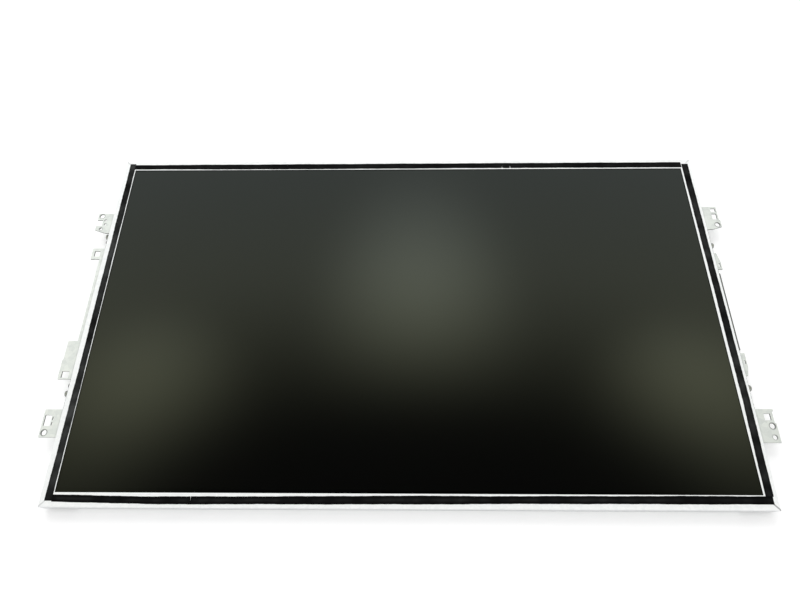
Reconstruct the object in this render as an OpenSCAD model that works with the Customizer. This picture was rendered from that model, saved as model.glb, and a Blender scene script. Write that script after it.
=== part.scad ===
// Bare display module of an all-in-one computer, lying on its back with the screen up.
// X runs along the long edge, Y from the near long edge to the far one, Z out of the screen.
// The origin is the middle of the outline, on the plane that the back rests on.

/* [Module] */
// Outline along the long edge
module_w = 533.2; // [528:0.1:540]
// Outline along the short edge
module_h = 312; // [310:0.1:316]
// Thickness from the resting plane to the bezel's face
module_t = 12; // [11.6:0.1:13]
// Picture area along the long edge
picture_w = 509.2; // [504:0.1:511]
// Picture area along the short edge
picture_h = 286.4; // [282:0.1:288]
// Black border between the picture and the bezel's lip
picture_border = 1.9; // [1:0.1:2.2]

/* [Sheet metal] */
// Steel of the front bezel
bezel_t = 0.6; // [0.4:0.1:0.8]
// Steel of the rear tray
tray_t = 0.6; // [0.5:0.1:0.8]
// Steel of the cover over the driver board
cover_t = 0.4; // [0.3:0.1:0.5]
// Steel of the side brackets
bracket_t = 1; // [0.8:0.1:1.2]
// Lowest edge of the bezel's side walls
bezel_skirt_z = 3.4; // [3.2:0.1:3.8]

/* [Display stack] */
// Each of the two sheets of glass
glass_t = 0.6; // [0.4:0.1:0.7]
// Each of the two polarizers
polarizer_t = 0.2; // [0.15:0.05:0.3]
// Shelf of the plastic frame under the glass
shelf_t = 1.1; // [0.9:0.1:1.3]
// Brightness film
brightness_film_t = 0.25; // [0.15:0.05:0.3]
// Prism film
prism_film_t = 0.25; // [0.15:0.05:0.3]
// Diffuser film
diffuser_film_t = 0.3; // [0.2:0.05:0.4]
// Clear light guide
light_guide_t = 3.5; // [3:0.1:3.6]
// White reflector sheet
reflector_t = 0.2; // [0.15:0.05:0.25]

/* [Edge light] */
// Number of light sources along the near edge
led_count = 46; // [30:2:48]
// Distance between light sources
led_pitch = 11; // [10:0.1:11]

/* [Driver board] */
// Length of the board along the near edge
board_w = 480; // [470:1:490]
// Number of driver films that fold round the near edge
film_count = 6; // [6]
// Width of one driver film
film_w = 42; // [36:1:46]

/* [Brackets] */
// Upper face of the ears
ear_z = 11; // [10:0.1:11.2]
// Distance from the middle to the ears' outer edges
ear_x = 280.5; // [278:0.1:284]
// Radius of the holes that fasten the ears
ear_hole_r = 2.1; // [1.8:0.1:2.4]
// Height of the side screws' axes
side_screw_z = 6.6; // [6.2:0.1:7]

/* [Tape] */
// Thickness of the black tape on the bezel
tape_t = 0.15; // [0.1:0.05:0.3]

/* [Hidden] */
$fn = 48;
eps = 0.01;
half_w = module_w / 2;
half_h = module_h / 2;
window_w = picture_w + 2 * picture_border;
window_h = picture_h + 2 * picture_border + 0.8;

// Levels of the stack, from the bezel's face down to the tray's floor
lip_z = module_t - bezel_t;
filter_glass_top = lip_z - polarizer_t;
base_glass_top = filter_glass_top - glass_t;
rear_polarizer_top = base_glass_top - glass_t;
shelf_top = rear_polarizer_top - polarizer_t;
shelf_z = shelf_top - shelf_t;
prism_top = shelf_z - brightness_film_t;
diffuser_top = prism_top - prism_film_t;
guide_top = diffuser_top - diffuser_film_t;
reflector_top = guide_top - light_guide_t;
floor_in_z = reflector_top - reflector_t;
floor_z = floor_in_z - tray_t;

// Nested walls, as insets from the module's outline
frame_inset = bezel_t + 0.3;
frame_wall = 1.1;
tray_inset = frame_inset + frame_wall;
stack_inset = tray_inset + tray_t + 1.2;
bezel_fold_r = 0.9;
tray_fold_r = 1;

// Glass, and the pocket of the frame that holds it
glass_x = 259.8;
glass_far_y = 148.6;
filter_near_y = -147;
base_near_y = -150.6;
pocket_gap = 0.8;
polarizer_lap = 1.1;
polarizer_x = window_w / 2 + polarizer_lap;
polarizer_y = window_h / 2 + polarizer_lap;
shelf_inner_x = picture_w / 2 + 1.4;
shelf_inner_y = picture_h / 2 + 1.6;
cushion_l = 14;

// Driver films that fold from the glass round the near edge to the board
film_t = 0.12;
film_pitch = picture_w / film_count;
film_x = [for (i = [0 : film_count - 1]) (i - (film_count - 1) / 2) * film_pitch];
film_bend_r = 0.55;
film_face_y = -half_h + frame_inset - 0.02;
film_bond = 2;
film_notch_w = film_w + 2;
chip_w = 24;
chip_h = 1.4;
chip_t = 0.4;
chip_z = 6;
chip_window = 0.6;

// Edge light along the near wall, and the tail that feeds it
bar_t = 1.2;
strip_t = 0.8;
strip_x = 258;
strip_margin = 0.4;
led_w = 7;
led_h = 2.6;
led_depth = 1;
led_gap = 0.6;
lens_rim = 0.5;
lens_d = 0.2;
tail_w = 12;
tail_t = 0.2;
tail_bend_r = 0.8;
tail_drop = 0.75;
tail_clear = 1;
tail_end_y = -145.6;

// Board hung under the near part of the tray
board_t = 1;
board_gap = 0.6;
board_top = floor_z - board_gap;
board_z = board_top - board_t;
board_near_y = -152.4;
board_strip_y = -132.4;
board_far_y = -108.4;
control_x = [-60, 100];
tail_x = 2 * film_pitch;
board_screws = [[-230, -137], [-44, -114], [206, -137]];
board_screw_r = 1;
board_head = [2, 1];
boss_r = 4;
boss_draft = 0.6;
boss_clear = 1.2;
insulator_t = 0.15;

// Cover over the board
cover_gap = 2.6;
cover_near_y = -half_h + 0.1;
tab_w = 12;
tab_l = 9;
tab_boss = 1;
tab_boss_r = 6;
strip_tabs = [-218, -128, 152, 226];
control_tabs = [-26, 68];
cover_screw_r = 1.5;
cover_head = [2.8, 1.5];
cover_hole_gap = 0.2;
tab_relief = 3;
tip_gap = 0.2;
play = 0.05;
cover_tabs = concat(
    [for (x = strip_tabs) [x, board_strip_y + cover_gap]],
    [for (x = control_tabs) [x, board_far_y + cover_gap]]
);

// Signal socket at the board's far edge
socket_x = 12;
socket_w = 37;
socket_d = 5.6;
socket_h = 1.6;
socket_pins = 30;
socket_pitch = 1;
socket_overhang = 1;
socket_side = 2;
socket_back = 1.2;
socket_skin = 0.35;
contact_w = 0.3;
contact_l = 3;
tail_socket_d = 5;
tail_socket_h = 1.1;
tail_socket_back = 1.4;

// Pressed shapes of the tray's floor
bead_r = 8;
bead_drop = 2.2;
pad_r = 15;
pad_draft = 2;
slope_wall = 0.8;
pads = [[-214, 118], [0, 118], [214, 118], [-214, -60], [214, -60]];
long_beads = [[-170, -44, 118], [44, 170, 118], [-184, -90, -84], [130, 184, -84]];
cross_beads = [[-214, -32, 90], [-107, -56, 92], [0, -80, 90], [107, -56, 92], [214, -32, 90]];

// Latches between frame, bezel and tray
latch_w = 8;
latch_h = 1.4;
latch_z = 8;
latch_gap = 0.2;
latch_bump = 0.6;
near_latches = [-250, -169.7, -84.9, 0, 84.9, 169.7, 250];
side_latches = [-126, -38, 38, 126];
tray_hooks = [-200, -105, -20, 105, 200];
hook_w = 5.6;
hook_h = 1;
hook_z = 6.4;
hook_d = 0.5;

// Side screws and brackets
leg_z = 3;
bend_r = 0.6;
saddle_z = 10;
rise_z = 11.5;
rise_y = 36.5;
fold_z = ear_z - bracket_t - bend_r;
head_r = 2.6;
head_h = 2.8;
head_taper = 0.82;
head_rim = 0.65;
recess_w = 0.28;
recess_l = 1.15;
recess_d = 0.45;
shank_r = 1.45;
thread_r = 1.5;
side_screw_tip = 0.5;
clear_r = 2;
left_screws = [74.6, -70.4];
right_screws = [78, 64.9, -64.9];
left_dimples = [68.8, -63.9];
dimple_r = 1.8;
dimple_d = 1.6;
hole_line_x = 277;

// Ears and flanges of each bracket as near y, far y and outer x
right_ears = [[79, 103, ear_x], [38.9, 54.8, 271], [-56, -37, 270.5], [-108, -82.4, ear_x]];
left_ears = [
    [76.5, 97.4, ear_x], [49.8, 60.8, 277.4], [-26.9, 49.8, 269.4],
    [-59.6, -26.9, 277.9], [-105.6, -83.9, ear_x]
];
// Stretches of each leg under the ears, as near y and far y
right_folds = [[79, 103], [38.9, 54.8], [-56, -37], [-108, -82.4]];
left_folds = [[76.5, 97.4], [-59.6, 60.8], [-105.6, -83.9]];
// Punched windows as inner x, outer x, near y and far y
right_windows = [
    [274, 278.2, 97.2, 101], [274, 278.2, 89.6, 95.4], [268.8, 270, 41.5, 44.6],
    [268.6, 269.6, -46.2, -43.2], [272.6, 277.4, -91, -86]
];
left_windows = [
    [271.8, 274, 89.3, 90.9], [271.6, 273.6, 84.9, 86.7], [270.2, 275, 52.6, 57.8],
    [269.6, 275.4, -58.4, -53], [273.9, 279.2, -96.8, -88.5],
    [272.4, 273.2, -92.2, -89.8], [272.4, 273.2, -96.4, -94]
];
// Notches in the ears' outer edges, by the same four numbers
right_notches = [[279.4, 283, 88.8, 104], [279.4, 283, -93, -84]];
left_notches = [[275.4, 283, 84.3, 90.2]];
// Holes as x, y and radius
right_holes = [[hole_line_x, 84, ear_hole_r], [hole_line_x, -95.4, ear_hole_r], [276.8, -103.9, 1.7]];
left_holes = [[hole_line_x, 94.4, ear_hole_r], [275.4, 81, 1.3], [hole_line_x, -102, ear_hole_r]];
// Corners cut off the ears, as outlines in x and y
right_trims = [
    [[271, 78], [283, 78], [283, 83.4], [ear_x, 81.8], [272, 79.2]],
    [[269, 56], [269, 54.8], [271, 46], [274, 46], [274, 56]],
    [[273, -58], [268.8, -58], [268.8, -56], [270.5, -49], [273, -49]]
];
left_trims = [
    [[270, 73], [283, 73], [283, 80.7], [ear_x, 79.8], [270.4, 76.5]],
    [[277.2, -20], [277.2, -42.4], [277.9, -43.5], [283, -43.5], [283, -20]]
];

// Block given by its lowest and highest corners
module block(lo, hi) {
    translate(lo) cube(hi - lo);
}

// Sheet centred on the module in X, from near to far in Y
module sheet(half_x, near_y, far_y, z0, z1) {
    block([-half_x, near_y, z0], [half_x, far_y, z1]);
}

// Rectangular wall of inset a to inset b from the outline
module ring(a, b, z0, z1) {
    difference() {
        sheet(half_w - a, -half_h + a, half_h - a, z0, z1);
        sheet(half_w - b, -half_h + b, half_h - b, z0 - eps, z1 + eps);
    }
}

// Section w wide from z0 to z1 with both corners at z1 rounded by r; z1 may be the lower edge
module folded_section(w, z0, z1, r) {
    up = sign(z1 - z0);
    translate([-w / 2, min(z0, z1 - up * r)]) square([w, abs(z1 - z0) - r]);
    translate([-w / 2 + r, min(z1, z1 - up * r)]) square([w - 2 * r, r]);
    for (side = [-1, 1]) translate([side * (w / 2 - r), z1 - up * r]) circle(r = r);
}

// Box whose four edges at z1 are folded to radius r
module folded_box(w, h, z0, z1, r) {
    intersection() {
        translate([0, h / 2, 0]) rotate([90, 0, 0]) linear_extrude(h) folded_section(w, z0, z1, r);
        translate([-w / 2, 0, 0]) rotate([90, 0, 90]) linear_extrude(w) folded_section(h, z0, z1, r);
    }
}

// Round bar along X from x0 to x1
module bar_x(r, x0, x1) {
    translate([x0, 0, 0]) rotate([0, 90, 0]) cylinder(r = r, h = x1 - x0);
}

// Copies of a shape on both long walls, or on both short walls
module on_long_walls(places) {
    for (x = places) for (side = [0, 1]) mirror([0, side, 0]) translate([x, 0, 0]) children();
}
module on_short_walls(places) {
    for (y = places) for (side = [0, 1]) mirror([side, 0, 0]) translate([0, y, 0]) children();
}

// Holes through both nested walls for the side screws
module side_holes(r) {
    reach = 8;
    for (y = right_screws) translate([half_w, y, side_screw_z]) bar_x(r, -reach, reach);
    for (y = left_screws) translate([-half_w, y, side_screw_z]) bar_x(r, -reach, reach);
}

// Folded front frame: face, four walls, latch windows, open corners and mitre lines
module front_bezel() {
    slit = 0.8;
    slit_top = module_t - 1.4;
    mitre_w = 0.3;
    mitre_l = 5.5;
    latch_top = latch_z + latch_h + latch_gap;
    color("lightsteelblue") difference() {
        folded_box(module_w, module_h, bezel_skirt_z, module_t, bezel_fold_r);
        folded_box(module_w - 2 * bezel_t, module_h - 2 * bezel_t, bezel_skirt_z - 1, lip_z,
            bezel_fold_r - bezel_t);
        sheet(window_w / 2, -window_h / 2, window_h / 2, lip_z - 1, module_t + 1);
        side_holes(clear_r);
        on_long_walls(near_latches)
            block([-latch_w / 2, half_h - 1, latch_z], [latch_w / 2, half_h + 1, latch_top]);
        on_short_walls(side_latches)
            block([half_w - 1, -latch_w / 2, latch_z], [half_w + 1, latch_w / 2, latch_top]);
        for (a = [-1, 1], b = [-1, 1]) translate([a * half_w, b * half_h, 0]) {
            block([-slit, -slit, bezel_skirt_z - 1], [slit, slit, slit_top]);
            translate([0, 0, module_t - mitre_w / 2]) rotate(a * b * 45 + (a > 0 ? 180 : 0))
                translate([0, -mitre_w / 2, 0]) cube([mitre_l, mitre_w, 1]);
        }
    }
}

// Strip of tape between two ends, each given as x, inner y and outer y
module tape_strip(points) {
    color([0.03, 0.03, 0.035]) translate([0, 0, module_t]) linear_extrude(tape_t) polygon(points);
}
module tape_far() {
    tape_strip([[-257.4, 146.5], [257.4, 146.6], [257.4, 152.6], [0, 152.2], [-257.4, 151.6]]);
}
module tape_near() {
    tape_strip([
        [-257, -147.1], [-185, -148.2], [0, -147.1], [100, -146.7], [262.6, -146.4],
        [262.6, -151.7], [100, -152], [0, -152.8], [-185, -153.5], [-257, -152]
    ]);
}
module tape_left() {
    tape_strip([
        [-262.6, 153.2], [-257.5, 153.2], [-257, -55],
        [-257.2, -151.4], [-262.6, -151.4], [-262, -55]
    ]);
}
module tape_right() {
    tape_strip([
        [258.2, 150.6], [263.8, 150.6], [264.4, -75],
        [263.5, -146.2], [257.7, -146.2], [258.8, -75]
    ]);
}

module front_polarizer() {
    color([0.07, 0.08, 0.08]) sheet(polarizer_x, -polarizer_y, polarizer_y, filter_glass_top, lip_z);
}
module filter_glass() {
    color([0.15, 0.18, 0.18]) sheet(glass_x, filter_near_y, glass_far_y, base_glass_top, filter_glass_top);
}
module base_glass() {
    color([0.2, 0.24, 0.24]) sheet(glass_x, base_near_y, glass_far_y, rear_polarizer_top, base_glass_top);
}
module rear_polarizer() {
    color([0.1, 0.1, 0.12]) sheet(polarizer_x, -polarizer_y, polarizer_y, shelf_top, rear_polarizer_top);
}

// Rubber blocks between the glass and the pocket's walls
module glass_cushions() {
    long_x = 150;
    side_y = 100;
    near_x = film_pitch;
    color([0.25, 0.25, 0.25]) {
        for (a = [-1, 1]) {
            for (b = [-1, 1])
                translate([a * (glass_x + pocket_gap / 2), b * side_y, rear_polarizer_top + glass_t])
                    cube([pocket_gap, cushion_l, 2 * glass_t], center = true);
            translate([a * long_x, glass_far_y + pocket_gap / 2, rear_polarizer_top + glass_t])
                cube([cushion_l, pocket_gap, 2 * glass_t], center = true);
            translate([a * near_x, base_near_y - pocket_gap / 2, rear_polarizer_top + glass_t / 2])
                cube([cushion_l, pocket_gap, glass_t], center = true);
        }
    }
}

// Moulded frame: skirt, shelf, pocket for the glass, film notches and chip windows
module panel_frame() {
    inner_x = half_w - frame_inset - frame_wall;
    notch_z = shelf_top + 0.2;
    far_y = glass_far_y + pocket_gap;
    near_y = base_near_y - pocket_gap;
    latch_x = latch_w / 2 - latch_gap;
    latch_low = latch_z + latch_gap / 2;
    latch_top = latch_z + latch_h;
    long_face = half_h - frame_inset;
    short_face = half_w - frame_inset;
    color([0.12, 0.12, 0.12]) difference() {
        union() {
            ring(frame_inset, frame_inset + frame_wall, floor_in_z, shelf_z);
            sheet(half_w - frame_inset, -half_h + frame_inset, half_h - frame_inset, shelf_z, lip_z);
            on_long_walls(near_latches)
                block([-latch_x, long_face - eps, latch_low], [latch_x, long_face + latch_bump, latch_top]);
            on_short_walls(side_latches)
                block([short_face - eps, -latch_x, latch_low], [short_face + latch_bump, latch_x, latch_top]);
            on_long_walls(tray_hooks)
                block([-hook_w / 2, half_h - tray_inset - hook_d, hook_z],
                    [hook_w / 2, half_h - tray_inset + eps, hook_z + hook_h]);
        }
        sheet(shelf_inner_x, -shelf_inner_y, shelf_inner_y, shelf_z - 1, lip_z + 1);
        sheet(glass_x + pocket_gap, near_y, far_y, shelf_top, lip_z + 1);
        for (x = film_x) {
            block([x - film_notch_w / 2, -half_h, notch_z], [x + film_notch_w / 2, near_y + 1, lip_z + 1]);
            block([x - chip_w / 2 - chip_window, -half_h, chip_z - chip_h / 2 - chip_window],
                [x + chip_w / 2 + chip_window, -half_h + tray_inset, chip_z + chip_h / 2 + chip_window]);
        }
        side_holes(clear_r);
    }
}

module optical_film(z0, z1) {
    sheet(half_w - stack_inset, led_face_y() + led_gap, half_h - stack_inset, z0, z1);
}
module brightness_film() {
    color([0.85, 0.86, 0.88]) optical_film(prism_top, shelf_z);
}
module prism_film() {
    color([0.8, 0.82, 0.85]) optical_film(diffuser_top, prism_top);
}
module diffuser_film() {
    color([0.92, 0.92, 0.92]) optical_film(guide_top, diffuser_top);
}
module light_guide() {
    color([0.85, 0.93, 0.95]) optical_film(reflector_top, guide_top);
}
module reflector_sheet() {
    color("white") optical_film(floor_in_z, reflector_top);
}

// Edge light along the near wall: bar, strip, light sources and the tail to the board
function bar_y() = -half_h + tray_inset + tray_t;
function strip_y() = bar_y() + bar_t;
function led_y() = strip_y() + strip_t;
function led_face_y() = led_y() + led_depth;
module heat_bar() {
    fold = tray_fold_r - tray_t;
    section = [
        [bar_y() + fold, floor_in_z], [strip_y(), floor_in_z], [strip_y(), shelf_z],
        [bar_y(), shelf_z], [bar_y(), floor_in_z + fold]
    ];
    color([0.75, 0.76, 0.78]) translate([-strip_x, 0, 0]) rotate([90, 0, 90])
        linear_extrude(2 * strip_x) polygon(section);
}
module led_strip() {
    color("white")
        block([-strip_x, strip_y(), floor_in_z + strip_margin], [strip_x, led_y(), shelf_z - strip_margin]);
}
module leds() {
    mid_z = (reflector_top + guide_top) / 2;
    rim = lens_rim;
    color([1, 0.95, 0.7]) for (i = [0 : led_count - 1])
        translate([(i - (led_count - 1) / 2) * led_pitch, led_y(), mid_z]) difference() {
            translate([-led_w / 2, 0, -led_h / 2]) cube([led_w, led_depth, led_h]);
            translate([-led_w / 2 + rim, led_depth - lens_d, -led_h / 2 + rim])
                cube([led_w - 2 * rim, 1, led_h - 2 * rim]);
        }
}

// Flexible tail from the strip's lower edge, through the tray, into the tail socket
module led_tail() {
    y0 = strip_y();
    run_z = board_z - tail_drop;
    c_z = run_z + tail_bend_r + tail_t;
    c_y = y0 + tail_t + tail_bend_r;
    color([0.9, 0.65, 0.2])
    translate([tail_x - tail_w / 2, 0, 0]) rotate([90, 0, 90]) linear_extrude(tail_w) {
        translate([y0, c_z]) square([tail_t, floor_in_z + strip_margin - c_z]);
        translate([c_y, c_z]) intersection() {
            difference() {
                circle(r = tail_bend_r + tail_t);
                circle(r = tail_bend_r);
            }
            translate([-2, -2]) square(2);
        }
        translate([c_y, run_z]) square([tail_end_y - c_y, tail_t]);
    }
}

// Bead pressed down from the floor along X, with domed ends
module bead_x(x0, x1, y, r) {
    translate([0, y, floor_z - bead_drop + bead_r]) {
        bar_x(r, x0, x1);
        for (x = [x0, x1]) translate([x, 0, 0]) sphere(r = r);
    }
}
module bead_y(x, y0, y1, r) {
    translate([x, 0, 0]) rotate(90) bead_x(y0, y1, 0, r);
}
module beads(r) {
    for (b = long_beads) bead_x(b[0], b[1], b[2], r);
    for (b = cross_beads) bead_y(b[0], b[1], b[2], r);
}

// Cone frustum of a resting pad or a boss; wall is 0 outside and the gauge inside
module press(x, y, r, drop, draft, wall) {
    inner = wall * slope_wall;
    translate([x, y, floor_z - drop + wall])
        cylinder(r1 = r - draft - inner, r2 = r - inner, h = drop + (wall > 0 ? eps : tray_t / 2));
}
module board_boss(p, wall) {
    press(p[0], p[1], boss_r + boss_draft, board_gap, boss_draft, wall);
}
module tab_boss(p, wall) {
    press(p[0], p[1] + tab_l / 2, tab_boss_r + boss_draft, tab_boss, boss_draft, wall);
}

// Folded and pressed steel tray
module rear_tray() {
    tray_w = module_w - 2 * tray_inset;
    tray_h = module_h - 2 * tray_inset;
    slot = 0.8;
    slot_w = tail_w + 2 * tail_clear;
    hook_gap = latch_gap;
    color([0.72, 0.75, 0.78]) difference() {
        union() {
            folded_box(tray_w, tray_h, shelf_z, floor_z, tray_fold_r);
            intersection() {
                beads(bead_r);
                sheet(half_w, -half_h, half_h, 0, floor_z + tray_t / 2);
            }
            for (p = pads) press(p[0], p[1], pad_r + pad_draft, floor_z, pad_draft, 0);
            for (p = board_screws) board_boss(p, 0);
            for (p = cover_tabs) tab_boss(p, 0);
        }
        folded_box(tray_w - 2 * tray_t, tray_h - 2 * tray_t, shelf_z + 1, floor_in_z, tray_fold_r - tray_t);
        intersection() {
            beads(bead_r - tray_t);
            sheet(half_w, -half_h, half_h, 0, floor_in_z + eps);
        }
        for (p = pads) press(p[0], p[1], pad_r + pad_draft, floor_z, pad_draft, tray_t);
        for (p = board_screws) {
            board_boss(p, tray_t);
            translate([p[0], p[1], 0]) cylinder(r = board_screw_r, h = floor_in_z + 1);
        }
        for (p = cover_tabs) {
            tab_boss(p, tray_t);
            translate([p[0], p[1] + tab_l / 2, 0]) cylinder(r = cover_screw_r, h = floor_in_z + 1);
        }
        block([tail_x - slot_w / 2, strip_y() - 0.3, 0],
            [tail_x + slot_w / 2, strip_y() + slot, floor_in_z + eps]);
        on_long_walls(tray_hooks)
            block([-hook_w / 2 - 2 * hook_gap, half_h - tray_inset - 1, hook_z - hook_gap],
                [hook_w / 2 + 2 * hook_gap, half_h - tray_inset + 1, hook_z + hook_h + hook_gap]);
        for (y = right_screws) translate([half_w - tray_inset, y, side_screw_z]) bar_x(thread_r, -2, 2);
        for (y = left_screws) translate([-half_w + tray_inset, y, side_screw_z]) bar_x(thread_r, -2, 2);
    }
}

// Section of a driver film, as Y and Z: off the glass, round the frame, down and under the tray
module film_section() {
    outer = film_bend_r + film_t;
    top_z = base_glass_top + film_t;
    bend_y = film_face_y + film_bend_r;
    low_z = board_top + outer;
    translate([bend_y, base_glass_top]) square([base_near_y + film_bond - bend_y, film_t]);
    translate([bend_y, top_z - outer]) film_bend(outer, 0);
    translate([film_face_y - film_t, low_z]) square([film_t, top_z - outer - low_z]);
    translate([bend_y, low_z]) film_bend(outer, -outer);
    translate([bend_y, board_top]) square([board_near_y + film_bond - bend_y, film_t]);
}
module film_bend(outer, low) {
    intersection() {
        difference() {
            circle(r = outer);
            circle(r = outer - film_t);
        }
        translate([-outer, low]) square(outer);
    }
}
module driver_films() {
    color([0.85, 0.6, 0.2]) for (x = film_x)
        translate([x - film_w / 2, 0, 0]) rotate([90, 0, 90]) linear_extrude(film_w) film_section();
}
module driver_chips() {
    color([0.1, 0.1, 0.1]) for (x = film_x)
        block([x - chip_w / 2, film_face_y, chip_z - chip_h / 2],
            [x + chip_w / 2, film_face_y + chip_t, chip_z + chip_h / 2]);
}

// Stepped outline of the board, grown by g on its free sides
module board_outline(g) {
    x = board_w / 2 + g;
    polygon([
        [-x, board_near_y], [x, board_near_y], [x, board_strip_y + g],
        [control_x[1] + g, board_strip_y + g], [control_x[1] + g, board_far_y + g],
        [control_x[0] - g, board_far_y + g], [control_x[0] - g, board_strip_y + g], [-x, board_strip_y + g]
    ]);
}
module board_insulator() {
    color([0.08, 0.08, 0.09])
    translate([0, 0, floor_z - insulator_t]) linear_extrude(insulator_t) difference() {
        board_outline(-1);
        translate([-half_w, board_near_y - 1]) square([module_w, 3]);
        for (p = board_screws) translate(p) circle(r = boss_r + boss_clear);
    }
}
module driver_board() {
    notch_w = tail_w + 4 * tail_clear;
    notch_d = 5;
    color([0.05, 0.3, 0.15]) translate([0, 0, board_z]) linear_extrude(board_t) difference() {
        board_outline(0);
        translate([tail_x - notch_w / 2, board_near_y - 1]) square([notch_w, notch_d]);
        for (p = board_screws) translate(p) circle(r = board_screw_r + 2 * play);
    }
}

// Parts soldered under the board, given by place, size and height
module part(x, y, w, d, h) {
    block([x - w / 2, y - d / 2, board_z - h], [x + w / 2, y + d / 2, board_z]);
}
module timing_chip() {
    color([0.1, 0.1, 0.1]) part(20, -127, 14, 14, 1);
}
module board_parts() {
    tall = 1.2;
    low = 0.8;
    chips = [
        [44, -127, 8, 5], [-24, -120, 5, 5], [76, -122, 6, 6],
        [-190, -139, 4, 4], [-105, -139, 4, 4], [140, -139, 4, 4]
    ];
    coils = [[-38, -120], [88, -120]];
    coil_r = 3;
    cap = [3.2, 1.6];
    cap_pitch = 7;
    cap_rows = [[-40, 6], [56, 4]];
    cap_y = -131;
    resistor = [2, 1.2];
    resistor_pitch = 6;
    resistor_y = -146;
    color([0.35, 0.32, 0.28]) {
        for (c = chips) part(c[0], c[1], c[2], c[3], low);
        for (c = coils) translate([c[0], c[1], board_z - tall]) cylinder(r = coil_r, h = tall);
        for (row = cap_rows, i = [0 : row[1]]) part(row[0] + cap_pitch * i, cap_y, cap[0], cap[1], tall);
        for (x = film_x, i = [-2 : 2])
            part(x + resistor_pitch * i, resistor_y, resistor[0], resistor[1], low);
    }
}
function socket_y() = board_far_y - socket_d + socket_overhang;
module signal_socket() {
    y0 = socket_y();
    inner = socket_w / 2 - socket_side;
    color([0.9, 0.88, 0.8]) difference() {
        block([socket_x - socket_w / 2, y0, board_z - socket_h],
            [socket_x + socket_w / 2, y0 + socket_d, board_z]);
        block([socket_x - inner, y0 + socket_back, board_z - socket_h + socket_skin],
            [socket_x + inner, y0 + socket_d + 1, board_z - socket_skin]);
    }
}
module socket_contacts() {
    y0 = socket_y() + socket_back;
    color("gold") for (i = [0 : socket_pins - 1]) {
        x = socket_x + (i - (socket_pins - 1) / 2) * socket_pitch;
        block([x - contact_w / 2, y0, board_z - 2 * socket_skin],
            [x + contact_w / 2, y0 + contact_l, board_z - socket_skin]);
    }
}
module tail_socket() {
    half = tail_w / 2 + socket_side;
    y0 = tail_end_y - tail_socket_back;
    slot_x = tail_w / 2 + 0.2;
    slot_z = board_z - tail_drop;
    color([0.9, 0.88, 0.8]) difference() {
        block([tail_x - half, y0, board_z - tail_socket_h], [tail_x + half, y0 + tail_socket_d, board_z]);
        block([tail_x - slot_x, y0 - 1, slot_z - play],
            [tail_x + slot_x, tail_end_y, slot_z + tail_t + play]);
    }
}

// Screw with its head at z = 0 and below, its shank above and a cross recess
module screw_up(head_radius, head_height, shank_radius, shank_l) {
    slot_w = head_radius * recess_w;
    slot_l = head_radius * recess_l;
    slot_d = head_height * recess_d * 2;
    rim_h = head_height * head_rim;
    difference() {
        union() {
            translate([0, 0, -head_height])
                cylinder(r1 = head_radius * head_taper, r2 = head_radius, h = head_height - rim_h);
            translate([0, 0, -rim_h]) cylinder(r = head_radius, h = rim_h);
            cylinder(r = shank_radius, h = shank_l);
        }
        for (a = [0, 90]) rotate(a) translate([0, 0, -head_height])
            cube([slot_l, slot_w, slot_d], center = true);
    }
}
module board_screws() {
    color([0.8, 0.8, 0.78]) for (p = board_screws) translate([p[0], p[1], board_z])
        screw_up(board_head[0], board_head[1], board_screw_r - play,
            board_t + board_gap + tray_t - tip_gap);
}

// Stepped outline of the cover, inset by g from its outer edge
module cover_outline(g) {
    x = board_w / 2 + cover_gap - g;
    strip_y = board_strip_y + cover_gap - g;
    far_y = board_far_y + cover_gap - g;
    left_x = control_x[0] - cover_gap + g;
    right_x = control_x[1] + cover_gap - g;
    polygon([
        [-x, cover_near_y + g], [x, cover_near_y + g], [x, strip_y], [right_x, strip_y],
        [right_x, far_y], [left_x, far_y], [left_x, strip_y], [-x, strip_y]
    ]);
}

// Shallow folded cover with screw tabs and a window for the signal socket
module board_cover() {
    tab_z = floor_z - tab_boss;
    relief_x = tab_boss_r + 1;
    window_x = socket_w / 2 + 2;
    window_y = [board_far_y - 2.5, board_far_y + 4];
    color([0.8, 0.82, 0.84]) difference() {
        union() {
            linear_extrude(cover_t) cover_outline(0);
            linear_extrude(floor_z) difference() {
                cover_outline(0);
                cover_outline(cover_t);
            }
            for (p = cover_tabs)
                block([p[0] - tab_w / 2, p[1] - eps, tab_z - cover_t],
                    [p[0] + tab_w / 2, p[1] + tab_l, tab_z]);
        }
        for (p = cover_tabs) {
            translate([p[0], p[1] + tab_l / 2, 0]) cylinder(r = cover_screw_r + cover_hole_gap, h = floor_z);
            block([p[0] - relief_x, p[1] - tab_relief, tab_z], [p[0] + relief_x, p[1] + tab_l, floor_z + 1]);
        }
        sheet(half_w, -half_h, cover_near_y + 2, bezel_skirt_z - 0.1, floor_z + 1);
        block([socket_x - window_x, window_y[0], -1], [socket_x + window_x, window_y[1], floor_z + 1]);
    }
}
module cover_screws() {
    tab_z = floor_z - tab_boss;
    color([0.75, 0.76, 0.78]) for (p = cover_tabs) translate([p[0], p[1] + tab_l / 2, tab_z - cover_t])
        screw_up(cover_head[0], cover_head[1], cover_screw_r - play,
            cover_t + tray_t + tab_boss - tip_gap);
}

// Folded bracket section as X and Z: leg on the module's wall, bend, ear out to reach
module fold_section(reach) {
    c = bracket_t + bend_r;
    translate([0, leg_z]) square([bracket_t, ear_z - c - leg_z]);
    translate([c, ear_z - c]) intersection() {
        difference() {
            circle(r = c);
            circle(r = bend_r);
        }
        translate([-c, 0]) square(c);
    }
    translate([c, ear_z - bracket_t]) square([reach - c, bracket_t]);
}

// Ear from y0 to y1, measured out from the module's wall
module ear(y0, y1, outer_x) {
    translate([half_w, y1, 0]) rotate([90, 0, 0]) linear_extrude(y1 - y0) fold_section(outer_x - half_w);
}

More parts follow.
